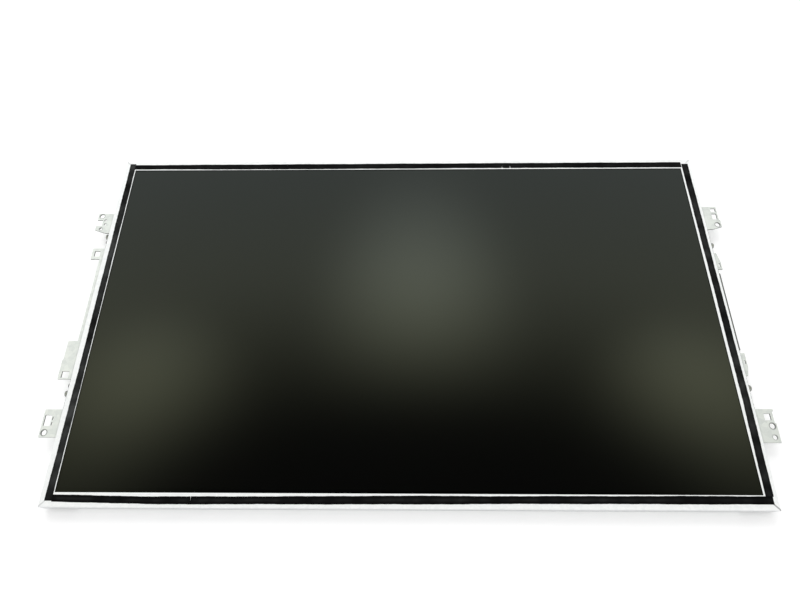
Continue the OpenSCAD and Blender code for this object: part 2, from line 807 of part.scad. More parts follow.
// Flat leg on the module's wall from near to far, cut down to the fold line under each ear
module leg(near, far, folds) {
    translate([half_w, 0, 0]) rotate([90, 0, 90]) linear_extrude(bracket_t) {
        difference() {
            translate([near, leg_z]) square([far - near, saddle_z - leg_z]);
            for (f = folds) translate([f[0], fold_z]) square([f[1] - f[0], saddle_z]);
        }
        children();
    }
}

// Low lip that stands up or hangs down at an ear's edge, from inner to outer x
module ear_lip(x0, x1, y0, y1, depth) {
    block([x0, y0, ear_z - depth], [x1, y1, ear_z - eps]);
}

// Cuts through the ears and the leg
module punch(windows, holes, trims, screws) {
    reach = 5;
    for (w = windows) block([w[0], w[2], ear_z - reach], [w[1], w[3], ear_z + reach]);
    for (h = holes) translate([h[0], h[1], ear_z - reach]) cylinder(r = h[2], h = 2 * reach);
    for (t = trims) translate([0, 0, ear_z - reach]) linear_extrude(2 * reach) polygon(t);
    for (y = screws) translate([half_w, y, side_screw_z]) bar_x(shank_r + 3 * play, -1, 2 * reach);
}

module right_bracket() {
    last = right_ears[3];
    slope = 2;
    color([0.7, 0.73, 0.76]) difference() {
        union() {
            leg(last[0], right_ears[0][1], right_folds) polygon([
                [-rise_y, fold_z], [-rise_y + slope, rise_z], [rise_y - slope, rise_z], [rise_y, fold_z]
            ]);
            for (e = right_ears) ear(e[0], e[1], e[2]);
            ear_lip(272, ear_x, last[1] - bracket_t, last[1], 4);
        }
        punch(concat(right_windows, right_notches), right_holes, right_trims, right_screws);
    }
}

module left_bracket() {
    hook = left_ears[1];
    color([0.7, 0.73, 0.76]) mirror([1, 0, 0]) difference() {
        union() {
            leg(left_ears[4][0], left_ears[0][1], left_folds);
            for (e = left_ears) ear(e[0], e[1], e[2]);
            ear_lip(hook[2] - bracket_t, hook[2], hook[0] + 0.8, hook[1] - 1.8, 3.4);
            for (y = left_dimples)
                translate([half_w + bracket_t, y, side_screw_z]) bar_x(dimple_r, -eps, dimple_d);
        }
        punch(concat(left_windows, left_notches), left_holes, left_trims, left_screws);
    }
}

// Screws through the brackets' legs into the tray's walls
module side_screw() {
    rotate([0, -90, 0])
        screw_up(head_r, head_h, shank_r, bracket_t + tray_inset + tray_t + side_screw_tip);
}
module bracket_screws() {
    color([0.6, 0.61, 0.6]) {
        for (y = right_screws) translate([half_w + bracket_t, y, side_screw_z]) side_screw();
        for (y = left_screws) mirror([1, 0, 0]) translate([half_w + bracket_t, y, side_screw_z]) side_screw();
    }
}

front_bezel();
tape_far();
tape_near();
tape_left();
tape_right();
front_polarizer();
filter_glass();
base_glass();
rear_polarizer();
glass_cushions();
panel_frame();
brightness_film();
prism_film();
diffuser_film();
light_guide();
reflector_sheet();
led_strip();
leds();
heat_bar();
led_tail();
rear_tray();
driver_films();
driver_chips();
board_insulator();
driver_board();
timing_chip();
board_parts();
signal_socket();
socket_contacts();
tail_socket();
board_screws();
board_cover();
cover_screws();
left_bracket();
right_bracket();
bracket_screws();
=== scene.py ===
import math

import bpy
import numpy as np
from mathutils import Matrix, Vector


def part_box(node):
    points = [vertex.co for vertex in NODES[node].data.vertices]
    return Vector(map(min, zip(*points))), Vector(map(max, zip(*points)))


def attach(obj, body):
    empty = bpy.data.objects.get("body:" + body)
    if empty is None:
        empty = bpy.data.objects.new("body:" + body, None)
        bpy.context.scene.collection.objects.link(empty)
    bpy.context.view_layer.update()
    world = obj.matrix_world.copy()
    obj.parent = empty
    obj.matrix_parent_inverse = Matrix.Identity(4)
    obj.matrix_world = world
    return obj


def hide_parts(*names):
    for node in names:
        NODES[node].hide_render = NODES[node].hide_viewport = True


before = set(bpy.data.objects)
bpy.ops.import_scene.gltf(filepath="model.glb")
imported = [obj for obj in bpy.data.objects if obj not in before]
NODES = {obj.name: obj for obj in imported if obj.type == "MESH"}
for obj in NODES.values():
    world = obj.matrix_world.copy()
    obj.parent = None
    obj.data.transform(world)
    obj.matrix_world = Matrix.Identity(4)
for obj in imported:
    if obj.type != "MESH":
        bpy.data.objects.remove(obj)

MM = 0.001
X, Y = 0, 1
BODY = "root"
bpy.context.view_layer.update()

# Camera, from the four edges of the bezel's window: place, turn in degrees, lens and film width
EYE = (2.1 * MM, -194.9 * MM, 445.1 * MM)
EYE_TURN = (25.27, 0.79, 0.34)
LENS_MM = 25.67
FILM_MM = 36.0

# Outline of the module, and the picture area of its screen
MODULE_W = 533.2 * MM
MODULE_H = 312 * MM
PICTURE_W = 509.2 * MM
PICTURE_H = 286.4 * MM

# Faces of the brackets' ears, and their holes as x, y, radius and how dark the painted shade ring
# round the hole is
EAR_LOW = 10 * MM
EAR_TOP = 11 * MM
EAR_HOLES = [
    (277 * MM, 84 * MM, 2.1 * MM, 0.6),
    (277 * MM, -95.4 * MM, 2.1 * MM, 0.75),
    (276.8 * MM, -103.9 * MM, 1.7 * MM, 0.3),
    (-277 * MM, 94.4 * MM, 2.1 * MM, 0.5),
    (-275.4 * MM, 81 * MM, 1.3 * MM, 0.4),
    (-277 * MM, -102 * MM, 2.1 * MM, 0.75),
]

# Lengths of the slow waves in the edges of the black tape, as laid by hand
TAPE_WAVES = (90 * MM, 31 * MM, 11 * MM, 4.3 * MM)

# Screws: radius and height of the head, radius and length of the shank, pitch of the thread
SIDE_SCREW = (2.6 * MM, 2.8 * MM, 1.45 * MM, 4.3 * MM, 0.5 * MM)
BOARD_SCREW = (2 * MM, 1 * MM, 0.95 * MM, 2 * MM, 0.4 * MM)
COVER_SCREW = (2.8 * MM, 1.5 * MM, 1.45 * MM, 1.8 * MM, 0.5 * MM)

# A face stands upright where the Z of its direction is smaller than the first value, and it looks
# up where that is larger than the second
UPRIGHT = 0.35
UPWARD = 0.5

# Edges sharper than this many degrees stay sharp on the turned and laid pieces
SHARP_EDGE = 35.0

# Light of the room, and light added to the floor where the camera sees it
ROOM_LIGHT = 0.86
FLOOR_LIFT = 0.14

# Bright patches that the room mirrors in the screen: centre and half widths as slopes of the
# mirrored ray, and gain over the room's level
ROOM_LEVEL = 0.91
ROOM_GLOWS = [
    ((0.02, 0.4), (0.25, 0.44), 2.0),
    ((-0.47, 0.225), (0.24, 0.26), 3.5),
    ((0.5, 0.235), (0.23, 0.235), 3.9),
]

SEED = 23


# Mesh building

def mesh_object(name, points, faces, finish):
    """A piece at the origin that rides on the module, from its points and faces."""
    mesh = bpy.data.meshes.new(name)
    mesh.from_pydata(points.tolist(), [], faces)
    mesh.validate()
    mesh.update()
    mesh.materials.append(finish)
    piece = bpy.data.objects.new(name, mesh)
    bpy.context.scene.collection.objects.link(piece)
    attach(piece, BODY)
    return piece


def grid_faces(rows, columns):
    """Quads between neighbouring rows of a grid whose columns close into a ring."""
    row, column = np.meshgrid(np.arange(rows - 1), np.arange(columns), indexing="ij")
    corner = row * columns
    after = corner + (column + 1) % columns
    here = corner + column
    quads = np.stack([here, after, after + columns, here + columns], -1)
    return quads.reshape(-1, 4).tolist()


def closed_grid(rows, columns):
    """Grid of rings with its first and last ring closed; the faces point outwards where the rings
    turn from X to Y and the rows rise along Z."""
    ring = list(range(columns))
    last = (rows - 1) * columns
    return grid_faces(rows, columns) + [ring[::-1], [last + i for i in ring]]


def smooth_by_angle(piece):
    """Shades a piece smooth and keeps its sharp edges."""
    piece.data.shade_smooth()
    piece.data.set_sharp_from_angle(angle=math.radians(SHARP_EDGE))


def soft_step(value, low, high):
    """Rises from 0 at low to 1 at high as 3t^2 - 2t^3."""
    t = np.clip((value - low) / (high - low), 0.0, 1.0)
    return t * t * (3.0 - 2.0 * t)


def wander(places, size, waves, seed):
    """Sum of sines of falling height with seeded phases, for edges laid by hand."""
    random = np.random.default_rng(seed)
    phases = random.uniform(0.0, 2.0 * np.pi, len(waves))
    heights = size / np.sqrt(np.arange(1, len(waves) + 1))
    return sum(h * np.sin(2.0 * np.pi * places / w + p) for h, w, p in zip(heights, waves, phases))


# Patterns and levels

def add(tree, kind, **settings):
    """A new shader node with its settings."""
    made = tree.nodes.new("ShaderNode" + kind)
    for key, value in settings.items():
        setattr(made, key, value)
    return made


def coordinates(tree, stretch=(1.0, 1.0, 1.0)):
    """Object coordinates, stretched along the axes."""
    source = add(tree, "TexCoord")
    mapping = add(tree, "Mapping")
    mapping.inputs["Scale"].default_value = stretch
    tree.links.new(source.outputs["Object"], mapping.inputs["Vector"])
    return mapping.outputs["Vector"]


def axis_parts(tree, output="Object"):
    """X, Y and Z of the place on the piece, or of another output of the coordinates."""
    source = add(tree, "TexCoord")
    parts = add(tree, "SeparateXYZ")
    tree.links.new(source.outputs[output], parts.inputs["Vector"])
    return parts.outputs["X"], parts.outputs["Y"], parts.outputs["Z"]


def noise(tree, size, detail=3.0, stretch=(1.0, 1.0, 1.0)):
    """Cloudy pattern whose blotches are about size metres wide."""
    made = add(tree, "TexNoise")
    made.inputs["Scale"].default_value = 1.0 / size
    made.inputs["Detail"].default_value = detail
    tree.links.new(coordinates(tree, stretch), made.inputs["Vector"])
    return made.outputs["Fac"]


def crystals(tree, size):
    """One random level for each crystal of a zinc coat."""
    made = add(tree, "TexVoronoi")
    made.inputs["Scale"].default_value = 1.0 / size
    tree.links.new(coordinates(tree), made.inputs["Vector"])
    level = add(tree, "SeparateColor")
    tree.links.new(made.outputs["Color"], level.inputs["Color"])
    return level.outputs["Red"]


def bands(tree, pitch, axis):
    """Lines a pitch apart across one axis; at scale 1 the wave repeats after a tenth of pi."""
    made = add(tree, "TexWave", wave_type="BANDS", bands_direction=axis)
    made.inputs["Scale"].default_value = math.pi / 10.0 / pitch
    tree.links.new(coordinates(tree), made.inputs["Vector"])
    return made.outputs["Fac"]


def math_node(tree, operation, first, second=None):
    """One operation on sockets or plain values."""
    made = add(tree, "Math", operation=operation)
    for index, value in enumerate((first, second)):
        if value is None:
            continue
        if isinstance(value, (int, float)):
            made.inputs[index].default_value = value
        else:
            tree.links.new(value, made.inputs[index])
    return made.outputs[0]


def size_of(tree, level):
    """A level without its sign."""
    return math_node(tree, "ABSOLUTE", level)


def blend_levels(tree, first, second, share):
    """Weighted mean of two patterns."""
    made = add(tree, "Mix", data_type="FLOAT")
    made.inputs["Factor"].default_value = share
    tree.links.new(first, made.inputs["A"])
    tree.links.new(second, made.inputs["B"])
    return made.outputs["Result"]


def blend_colour(tree, colour, amount, other):
    """Blends a colour into another, plain one where the amount is 1."""
    made = add(tree, "Mix", data_type="RGBA")
    tree.links.new(amount, made.inputs["Factor"])
    tree.links.new(colour, made.inputs["A"])
    made.inputs["B"].default_value = (*other, 1.0)
    return made.outputs["Result"]


def span(tree, level, low, high, start=0.3, end=0.7, curve="LINEAR"):
    """Turns a pattern's levels from start to end into values from low to high."""
    made = add(tree, "MapRange", interpolation_type=curve)
    made.inputs["From Min"].default_value = start
    made.inputs["From Max"].default_value = end
    made.inputs["To Min"].default_value = low
    made.inputs["To Max"].default_value = high
    tree.links.new(level, made.inputs["Value"])
    return made.outputs["Result"]


def tint(tree, level, dark, light, start=0.3, end=0.7):
    """Turns a pattern's levels into colours from dark to light."""
    made = add(tree, "ValToRGB")
    made.color_ramp.elements[0].position = start
    made.color_ramp.elements[0].color = (*dark, 1.0)
    made.color_ramp.elements[1].position = end
    made.color_ramp.elements[1].color = (*light, 1.0)
    tree.links.new(level, made.inputs["Fac"])
    return made.outputs["Color"]


def relief(tree, shader, level, height, strength):
    """Bump of a given height, added to the shader."""
    made = add(tree, "Bump")
    made.inputs["Distance"].default_value = height
    made.inputs["Strength"].default_value = strength
    tree.links.new(level, made.inputs["Height"])
    tree.links.new(made.outputs["Normal"], shader.inputs["Normal"])


# Marks of the punched and folded sheets

def upright_faces(tree, facing):
    """1 on faces that stand upright, from the Z of their direction."""
    return math_node(tree, "LESS_THAN", size_of(tree, facing), UPRIGHT)


def bracket_edges_and_shade(tree):
    """1 on the cut edges of the sheet, whose dark colour is uncoated steel and also painted shade
    in the gaps and hole walls, and on painted shade rings round the ears' holes, 0 elsewhere.
    A ring fades with the distance from the hole's centre."""
    leg_cut_top = EAR_LOW + 0.05 * MM
    flange_cut_top = EAR_TOP + 0.3 * MM
    ring_full, ring_end = 0.3 * MM, 0.9 * MM
    x, y, z = axis_parts(tree)
    facing = axis_parts(tree, "Normal")[2]
    # Cut edges in the dark colour: uncoated steel, and painted shade in the gap by the leg and in
    # the hole walls
    on_ear = math_node(tree, "GREATER_THAN", z, EAR_LOW)
    ear_cut = math_node(tree, "MULTIPLY", upright_faces(tree, facing), on_ear)
    upward = math_node(tree, "GREATER_THAN", facing, UPWARD)
    low_top = math_node(tree, "LESS_THAN", z, leg_cut_top)
    high_top = math_node(tree, "GREATER_THAN", z, flange_cut_top)
    top_cut = math_node(tree, "MULTIPLY", upward, math_node(tree, "MAXIMUM", low_top, high_top))
    marks = math_node(tree, "MAXIMUM", ear_cut, top_cut)
    # Painted shade: a dark ring round each hole stands for the shading of its rim and wall
    for hole_x, hole_y, hole_r, ring_shade in EAR_HOLES:
        off_x = math_node(tree, "POWER", math_node(tree, "SUBTRACT", x, hole_x), 2.0)
        off_y = math_node(tree, "POWER", math_node(tree, "SUBTRACT", y, hole_y), 2.0)
        reach = math_node(tree, "SQRT", math_node(tree, "ADD", off_x, off_y))
        ring = span(tree, reach, ring_shade, 0.0, hole_r + ring_full, hole_r + ring_end)
        marks = math_node(tree, "MAXIMUM", marks, ring)
    return marks


def bezel_seams_edges_and_shade(tree):
    """Level along the mitred seams at the corners, strongest at the near right one, on the cut
    edges round the window, which are uncoated steel and painted shade in the gap under the lip, and
    lightly on the outer walls as painted shade. A seam lies where the distance from the short side
    equals the one from the long side."""
    window_edge = 3 * MM
    wall_shade = 0.18
    seam_full, seam_end = 0.3 * MM, 1.1 * MM
    corner_full, corner_end = 4.5 * MM, 6 * MM
    faint, strong = 0.22, 0.62
    strength_start, strength_end = 0.2, 0.4
    x, y = axis_parts(tree)[:2]
    facing = axis_parts(tree, "Normal")[2]
    wall = upright_faces(tree, facing)
    inside_x = math_node(tree, "LESS_THAN", size_of(tree, x), PICTURE_W / 2 + window_edge)
    inside_y = math_node(tree, "LESS_THAN", size_of(tree, y), PICTURE_H / 2 + window_edge)
    inside = math_node(tree, "MULTIPLY", inside_x, inside_y)
    # Painted shade: full on the window's cut edge and lightly on the outer walls
    edges = math_node(tree, "MULTIPLY", wall, span(tree, inside, wall_shade, 1.0, 0.0, 1.0))
    from_end = math_node(tree, "SUBTRACT", MODULE_W / 2, size_of(tree, x))
    from_side = math_node(tree, "SUBTRACT", MODULE_H / 2, size_of(tree, y))
    off_seam = size_of(tree, math_node(tree, "SUBTRACT", from_end, from_side))
    seam = span(tree, off_seam, 1.0, 0.0, seam_full, seam_end)
    near_corner = span(tree, from_end, 1.0, 0.0, corner_full, corner_end)
    to_near_right = math_node(tree, "SUBTRACT", x, y)
    strength = span(tree, to_near_right, faint, strong, strength_start, strength_end)
    at_corners = math_node(tree, "MULTIPLY", seam, near_corner)
    seams = math_node(tree, "MULTIPLY", at_corners, strength)
    return math_node(tree, "MAXIMUM", seams, edges)


# Finishes

def new_finish(name, rough=0.5, metal=0.0, specular=0.5):
    """A material with its shader's plain values set."""
    finish = bpy.data.materials.new(name)
    finish.use_nodes = True
    shader = finish.node_tree.nodes["Principled BSDF"]
    shader.inputs["Roughness"].default_value = rough
    shader.inputs["Metallic"].default_value = metal
    shader.inputs["Specular IOR Level"].default_value = specular
    return finish, finish.node_tree, shader


def zinc_sheet(name, dark, light, crystal, metal, rough, marks=None, bare_and_shade=(0.12, 0.125, 0.12)):
    """Rolled sheet with a zinc coat: crystals, rolling lines along X, faint stains, and a dark
    colour where the marks are, which is uncoated steel, dark joints and painted shade."""
    finish, tree, shader = new_finish(name, metal=metal)
    coat = crystals(tree, crystal)
    rolling = noise(tree, 2.5 * MM, detail=4.0, stretch=(0.04, 1.0, 1.0))
    stains = noise(tree, 45 * MM, detail=5.0)
    sheet = blend_levels(tree, coat, rolling, share=0.45)
    surface = blend_levels(tree, sheet, stains, share=0.4)
    coated = tint(tree, surface, dark, light)
    if marks:
        coated = blend_colour(tree, coated, marks(tree), bare_and_shade)
    tree.links.new(coated, shader.inputs["Base Color"])
    tree.links.new(span(tree, surface, rough[1], rough[0]), shader.inputs["Roughness"])
    relief(tree, shader, rolling, height=0.02 * MM, strength=0.35)
    return finish


def black_foam_tape():
    """Matte foam tape: open pores, and a lighter tone by the strip's own amount, in blotches,
    whose rise along the strip's middle is a painted highlight."""
    black, lightest_grey = (0.0015, 0.0015, 0.0018), (0.045, 0.047, 0.046)
    finish, tree, shader = new_finish("black_foam_tape", rough=0.6, specular=0.03)
    pores = noise(tree, 0.45 * MM, detail=5.0)
    tape_lightening = add(tree, "Attribute", attribute_name="tape_lightening")
    blotches = span(tree, noise(tree, 7 * MM, detail=4.0), low=0.4, high=1.3)
    level = math_node(tree, "MULTIPLY", tape_lightening.outputs["Fac"], blotches)
    surface = math_node(tree, "ADD", level, span(tree, pores, low=-0.05, high=0.08))
    colour = tint(tree, surface, black, lightest_grey, start=0.0, end=1.0)
    tree.links.new(colour, shader.inputs["Base Color"])
    tree.links.new(span(tree, pores, low=0.4, high=0.7), shader.inputs["Roughness"])
    relief(tree, shader, pores, height=0.06 * MM, strength=0.5)
    return finish


def anti_glare_screen():
    """Hazy black polarizer over the picture, with a deeper black border where X or Y is past the
    picture's half width or height."""
    green_cast = (0.94, 1.0, 0.94, 1.0)
    border_black = (0.0005, 0.0005, 0.0005)
    finish, tree, shader = new_finish("anti_glare_screen")
    shader.inputs["Specular Tint"].default_value = green_cast
    x, y = axis_parts(tree)[:2]
    past_x = math_node(tree, "GREATER_THAN", size_of(tree, x), PICTURE_W / 2)
    past_y = math_node(tree, "GREATER_THAN", size_of(tree, y), PICTURE_H / 2)
    border = math_node(tree, "MAXIMUM", past_x, past_y)
    haze = noise(tree, 0.12 * MM, detail=2.0)
    picture = tint(tree, haze, dark=(0.0012, 0.0013, 0.0012), light=(0.0022, 0.0022, 0.002))
    colour = blend_colour(tree, picture, border, border_black)
    tree.links.new(colour, shader.inputs["Base Color"])
    tree.links.new(span(tree, haze, low=0.12, high=0.15), shader.inputs["Roughness"])
    relief(tree, shader, haze, height=0.002 * MM, strength=0.3)
    return finish


def moulded(name, dark, light, rough=(0.4, 0.6), grain=0.3 * MM):
    """Moulded plastic or rubber with a fine grain."""
    finish, tree, shader = new_finish(name)
    fine = noise(tree, grain)
    flow = noise(tree, 30 * MM, detail=2.0)
    surface = blend_levels(tree, fine, flow, share=0.5)
    tree.links.new(tint(tree, surface, dark, light), shader.inputs["Base Color"])
    tree.links.new(span(tree, surface, rough[0], rough[1]), shader.inputs["Roughness"])
    relief(tree, shader, fine, height=0.01 * MM, strength=0.4)
    return finish


def clear_sheet(name, dark, light, rough, clear):
    """Glass or acrylic with a slight tint and faint ripples."""
    finish, tree, shader = new_finish(name, rough=rough)
    shader.inputs["Transmission Weight"].default_value = clear
    ripples = noise(tree, 70 * MM, detail=2.0)
    tree.links.new(tint(tree, ripples, dark, light), shader.inputs["Base Color"])
    relief(tree, shader, ripples, height=0.02 * MM, strength=0.1)
    return finish


def lined_film(name, dark, light, pitch, rough):
    """Film with fine prisms along X and a satin face."""
    finish, tree, shader = new_finish(name, rough=rough)
    lines = bands(tree, pitch, "Y")
    clouds = noise(tree, 90 * MM, detail=2.0)
    surface = blend_levels(tree, lines, clouds, share=0.5)
    tree.links.new(tint(tree, surface, dark, light), shader.inputs["Base Color"])
    relief(tree, shader, lines, height=0.01 * MM, strength=0.4)
    return finish


def flexible_circuit():
    """Amber film with copper tracks under it, running across the fold."""
    amber, copper = (0.24, 0.1, 0.02), (0.62, 0.3, 0.07)
    finish, tree, shader = new_finish("flexible_circuit", rough=0.3)
    tracks = bands(tree, 0.5 * MM, "X")
    colour = tint(tree, tracks, amber, copper, start=0.4, end=0.6)
    gloss = span(tree, noise(tree, 12 * MM), low=0.22, high=0.42)
    tree.links.new(colour, shader.inputs["Base Color"])
    tree.links.new(gloss, shader.inputs["Roughness"])
    relief(tree, shader, tracks, height=0.02 * MM, strength=0.5)
    return finish


def circuit_board():
    """Green mask over tracks that run both ways, as the joints of a wall of bricks."""
    bricks_per_metre, track_share, row_offset = 180.0, 0.06, 0.37
    finish, tree, shader = new_finish("circuit_board", rough=0.35)
    bricks = add(tree, "TexBrick", offset=row_offset)
    bricks.inputs["Scale"].default_value = bricks_per_metre
    bricks.inputs["Mortar Size"].default_value = track_share
    tree.links.new(coordinates(tree), bricks.inputs["Vector"])
    tracks = bricks.outputs["Fac"]
    level = blend_levels(tree, tracks, noise(tree, 6 * MM), share=0.4)
    mask = tint(tree, level, dark=(0.012, 0.09, 0.035), light=(0.03, 0.19, 0.07))
    gloss = span(tree, noise(tree, 3 * MM), low=0.28, high=0.45)
    tree.links.new(mask, shader.inputs["Base Color"])
    tree.links.new(gloss, shader.inputs["Roughness"])
    relief(tree, shader, tracks, height=0.03 * MM, strength=0.5)
    return finish


def plated(name, dark, light, rough=(0.22, 0.4)):
    """Bright plated metal with fine handling marks."""
    finish, tree, shader = new_finish(name, metal=1.0)
    marks = noise(tree, 0.8 * MM, detail=6.0, stretch=(1.0, 0.25, 1.0))
    tree.links.new(tint(tree, marks, dark, light), shader.inputs["Base Color"])
    tree.links.new(span(tree, marks, rough[1], rough[0]), shader.inputs["Roughness"])
    relief(tree, shader, marks, height=0.006 * MM, strength=0.5)
    return finish


# Finishes of more than one node
TAPE = black_foam_tape()
DULL_SCREW = plated("dull_zinc_screw", (0.24, 0.25, 0.24), (0.5, 0.51, 0.49), rough=(0.35, 0.55))
ZINC_SCREW = plated("zinc_screw", (0.5, 0.51, 0.5), (0.74, 0.74, 0.72))
GLASS = clear_sheet("display_glass", (0.10, 0.13, 0.125), (0.14, 0.17, 0.165),
    rough=0.08, clear=0.35)
OPTICAL = lined_film("optical_film", (0.74, 0.75, 0.77), (0.84, 0.85, 0.87),
    pitch=0.4 * MM, rough=0.35)
CHIP = moulded("chip_black", (0.015, 0.015, 0.017), (0.03, 0.03, 0.033),
    rough=(0.45, 0.65), grain=0.15 * MM)
SOCKET = moulded("ivory_socket", (0.62, 0.6, 0.5), (0.75, 0.73, 0.64), rough=(0.4, 0.55))
FLEX = flexible_circuit()

finish_of = {
    # Near-black on the marks: uncoated steel at seams and window edge, and painted shade under the
    # lip and on the outer walls
    "front_bezel": zinc_sheet("bezel_zinc", (0.87, 0.89, 0.89), (0.96, 0.97, 0.97),
        crystal=2.4 * MM, metal=0.12, rough=(0.4, 0.55), marks=bezel_seams_edges_and_shade,
        bare_and_shade=(0.03, 0.03, 0.03)),
    "tape_far": TAPE,
    "tape_near": TAPE,
    "tape_left": TAPE,
    "tape_right": TAPE,
    "front_polarizer": anti_glare_screen(),
    "filter_glass": GLASS,
    "base_glass": GLASS,
    "rear_polarizer": moulded("rear_polarizer", (0.006, 0.006, 0.008), (0.012, 0.012, 0.015),
        rough=(0.15, 0.3)),
    "glass_cushions": moulded("soft_cushion", (0.03, 0.03, 0.03), (0.06, 0.06, 0.06),
        rough=(0.7, 0.9), grain=0.4 * MM),
    "panel_frame": moulded("black_frame", (0.008, 0.008, 0.009), (0.02, 0.02, 0.022)),
    "brightness_film": OPTICAL,
    "prism_film": OPTICAL,
    "diffuser_film": moulded("diffuser_film", (0.8, 0.8, 0.8), (0.88, 0.88, 0.88),
        rough=(0.6, 0.75)),
    "light_guide": clear_sheet("clear_acrylic", (0.72, 0.8, 0.8), (0.8, 0.86, 0.86),
        rough=0.1, clear=0.6),
    "reflector_sheet": moulded("white_reflector", (0.82, 0.82, 0.81), (0.9, 0.9, 0.89),
        rough=(0.5, 0.7)),
    "led_strip": moulded("white_mask_strip", (0.74, 0.74, 0.7), (0.84, 0.84, 0.81),
        rough=(0.3, 0.45)),
    "leds": moulded("phosphor_package", (0.62, 0.52, 0.16), (0.8, 0.72, 0.34),
        rough=(0.3, 0.5), grain=0.8 * MM),
    "heat_bar": plated("aluminium_bar", (0.6, 0.61, 0.62), (0.76, 0.77, 0.78), rough=(0.3, 0.5)),
    "led_tail": FLEX,
    "rear_tray": zinc_sheet("tray_zinc", (0.5, 0.52, 0.53), (0.61, 0.64, 0.65),
        crystal=3.5 * MM, metal=0.6, rough=(0.34, 0.5)),
    "driver_films": FLEX,
    "driver_chips": CHIP,
    "board_insulator": moulded("insulator_film", (0.01, 0.01, 0.012), (0.022, 0.022, 0.025),
        rough=(0.3, 0.45)),
    "driver_board": circuit_board(),
    "timing_chip": CHIP,
    "board_parts": moulded("soldered_parts", (0.08, 0.07, 0.06), (0.3, 0.25, 0.19),
        rough=(0.35, 0.6), grain=4 * MM),
    "signal_socket": SOCKET,
    "socket_contacts": plated("gold_contacts", (0.7, 0.48, 0.16), (0.85, 0.63, 0.27)),
    "tail_socket": SOCKET,
    "board_screws": ZINC_SCREW,
    "board_cover": zinc_sheet("cover_tin", (0.56, 0.58, 0.59), (0.72, 0.74, 0.74),
        crystal=1.6 * MM, metal=0.65, rough=(0.3, 0.44)),
    "cover_screws": ZINC_SCREW,
    # Painted light: the left bracket's zinc is a lighter copy of the right one's, for more light on
    # the left
    "left_bracket": zinc_sheet("left_bracket_zinc_painted_light", (0.74, 0.775, 0.75), (0.86, 0.89, 0.86),
        crystal=3.2 * MM, metal=0.3, rough=(0.4, 0.6), marks=bracket_edges_and_shade),
    "right_bracket": zinc_sheet("right_bracket_zinc", (0.66, 0.69, 0.67), (0.8, 0.83, 0.8),
        crystal=3.2 * MM, metal=0.3, rough=(0.4, 0.6), marks=bracket_edges_and_shade),
    "bracket_screws": DULL_SCREW,
}
for node, finish in finish_of.items():
    slots = NODES[node].data.materials
    slots.clear()
    slots.append(finish)


# Edge tape

def node_points(node):
    """All points of a CAD node as an array."""
    vertices = NODES[node].data.vertices
    points = np.empty(len(vertices) * 3)
    vertices.foreach_get("co", points)
    return points.reshape(-1, 3)


def strip_sides(node, along, across):
    """The two long edges of a flat strip: along and across values for the lower and the upper one,
    told apart by the straight line through the middle of all points."""
    points = node_points(node)[:, [along, across]]
    middle = np.polynomial.Polynomial.fit(points[:, 0], points[:, 1], 1)
    sides = []
    for sign in (-1.0, 1.0):
        side = points[sign * (points[:, 1] - middle(points[:, 0])) > 0]
        sides.append(side[np.argsort(side[:, 0])])
    return sides


def tape_edges(node, along, seed, inner, drift, laps, nicks):
    """Places along a strip and its lower and upper edge there. Both edges follow the CAD strip and
    wander a little away from its ends. The inner one, -1 for the lower and 1 for the upper, is
    shifted by the drift, in mm. A nick cuts into one edge as a bell, exp(-t^2)."""
    stations = 420
    nick_stations, nick_reach_mm = 49, 1.2
    wander_size, calm_end = 0.08 * MM, 20 * MM
    low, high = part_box(node)
    lower, upper = strip_sides(node, along, 1 - along)
    around = np.linspace(-nick_reach_mm, nick_reach_mm, nick_stations) * MM
    places = [np.linspace(low[along] - laps[0], high[along] + laps[1], stations)]
    places += [nick[0] + around for nick in nicks]
    places = np.unique(np.concatenate(places))
    from_end = np.minimum(places - places[0], places[-1] - places)
    free = wander_size * soft_step(from_end, 0.0, calm_end)
    edges = []
    for number, side_points in enumerate((lower, upper)):
        edge = np.interp(places, side_points[:, 0], side_points[:, 1])
        edges.append(edge + free * wander(places, 1.0, TAPE_WAVES, seed + number))
    drift_places, drift_shifts = np.array(drift).T * MM
    edges[0 if inner < 0 else 1] += np.interp(places, drift_places, drift_shifts)
    for place, side, share, width in nicks:
        cut = share * (edges[1] - edges[0]) * np.exp(-(((places - place) / width) ** 2))
        if side < 0:
            edges[0] = edges[0] + cut
        else:
            edges[1] = edges[1] - cut
    return places, edges[0], edges[1]


def flat_loop():
    """Section of a strip in half widths and half thicknesses: two flat faces joined by half round
    edges, 1 - rim + rim cos a across and sin a up."""
    rim = 0.03
    bend = np.linspace(-np.pi / 2, np.pi / 2, 7)
    flat = np.linspace(1.0, -1.0, 11)[1:-1]
    across = np.concatenate([
        1.0 - rim + rim * np.cos(bend), (1.0 - rim) * flat,
        rim - 1.0 - rim * np.cos(bend), (rim - 1.0) * flat,
    ])
    up = np.concatenate([
        np.sin(bend), np.ones(len(flat)),
        -np.sin(bend), -np.ones(len(flat)),
    ])
    return across, up


def tape_lightening_levels(places, across, lightening, seed):
    """How much each point of a strip is lightened: patches along it times a bell across it,
    exp(-u^2), that runs from the first lightening value at the edges to the second in the middle;
    the rise to the middle is a painted highlight."""
    patch_waves, patch_mean, patch_size = (140 * MM, 47 * MM, 17 * MM), 0.75, 0.3
    least, most = 0.1, 1.3
    bell_width = 0.45
    patches = patch_mean + wander(places, patch_size, patch_waves, seed)
    # Painted highlight along the middle of the strip
    bell = np.exp(-((across / bell_width) ** 2))
    return np.clip(patches, least, most)[:, None] * (lightening[0] + (lightening[1] - lightening[0]) * bell)


